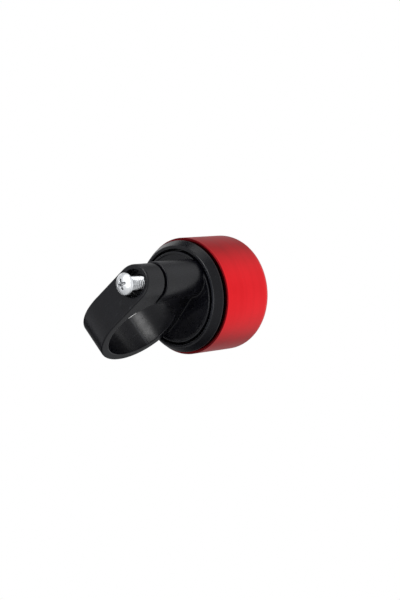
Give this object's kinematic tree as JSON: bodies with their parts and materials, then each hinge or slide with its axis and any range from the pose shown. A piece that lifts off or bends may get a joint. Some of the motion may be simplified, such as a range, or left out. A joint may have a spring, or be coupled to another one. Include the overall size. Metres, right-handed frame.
{
  "type": "bicycle bell",
  "caption": "Small twist bell for a bicycle handlebar: a deep aluminium cup on a turning ring, with a hammer and star wheel inside and a split band clamp.",
  "frame": {"origin": "centre of the handlebar bore", "axes": "+X along the handlebar, +Z along the bell's axis towards the crown, +Y from the clamp screw towards the bore"},
  "size_m": [0.0344, 0.0374, 0.0508],
  "materials": {
    "red_anodised": "satin red anodised aluminium",
    "black_nylon": "black moulded nylon, fine satin",
    "bright_zinc": "bright zinc-plated steel",
    "steel": "plain steel",
    "brass": "plain brass",
    "acetal": "natural white acetal",
    "black_rubber": "black rubber"
  },
  "bodies": {
    "clamp": {"bracket": "black_nylon", "threaded_insert": "brass", "spindle": "steel", "thrust_washer": "acetal", "star_wheel": "acetal", "retaining_clip": "steel"},
    "screw": {"clamp_screw": "bright_zinc"},
    "cup": {"twist_ring": "black_nylon", "ring_bush": "brass", "bridge": "steel", "bridge_screw_left": "bright_zinc", "bridge_screw_right": "bright_zinc", "dome": "red_anodised", "dome_washer": "black_rubber", "dome_screw": "bright_zinc", "hammer_pin": "steel", "hammer_spring": "steel"},
    "hammer": {"hammer_arm": "steel", "hammer_head": "steel"}
  },
  "joints": [
    {"name": "cup_twist", "type": "hinge", "parent": "clamp", "child": "cup", "pos_m": [0, -0.0067, 0.0175], "axis": [0, 0, 1], "continuous": true},
    {"name": "hammer_swing", "type": "hinge", "parent": "cup", "child": "hammer", "pos_m": [0.00475, 0.0015, 0.02], "axis": [0, 0, 1], "range_deg": [-5, 22], "stiffness_Nm_per_rad": 0.003, "deforming": ["hammer_spring"]},
    {"name": "clamp_screw_travel", "type": "slide", "parent": "clamp", "child": "screw", "axis": [0, 0, 1], "range_m": [0, 0.0052]}
  ]
}
